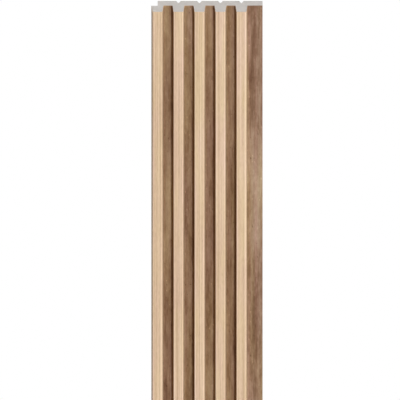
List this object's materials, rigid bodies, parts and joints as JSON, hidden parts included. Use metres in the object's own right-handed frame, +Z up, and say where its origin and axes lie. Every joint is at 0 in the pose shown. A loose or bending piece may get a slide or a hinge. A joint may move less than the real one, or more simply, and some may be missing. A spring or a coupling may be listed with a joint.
{
  "type": "slat wall panel",
  "caption": "Tall narrow wall panel: tapered upright slats in light wood-look film, brown lined grooves, a flange at one edge and a lap rebate at the other.",
  "frame": {"origin": "middle of the overall width of the back face, at the lower end", "axes": "+Z up along the slats, +Y out of the back towards the wall, +X towards the flange edge, slats towards -Y"},
  "size_m": [0.1292, 0.021, 2.65],
  "materials": {
    "foam": "matte",
    "light_film": "satin",
    "brown_film": "satin"
  },
  "bodies": {
    "root": {"foam_core": "foam", "slat_film_1": "light_film", "slat_film_2": "light_film", "slat_film_3": "light_film", "slat_film_4": "light_film", "slat_film_5": "light_film", "groove_film_1": "brown_film", "groove_film_2": "brown_film", "groove_film_3": "brown_film", "groove_film_4": "brown_film", "outer_flank_film": "brown_film", "flange_film": "brown_film"}
  },
  "joints": []
}
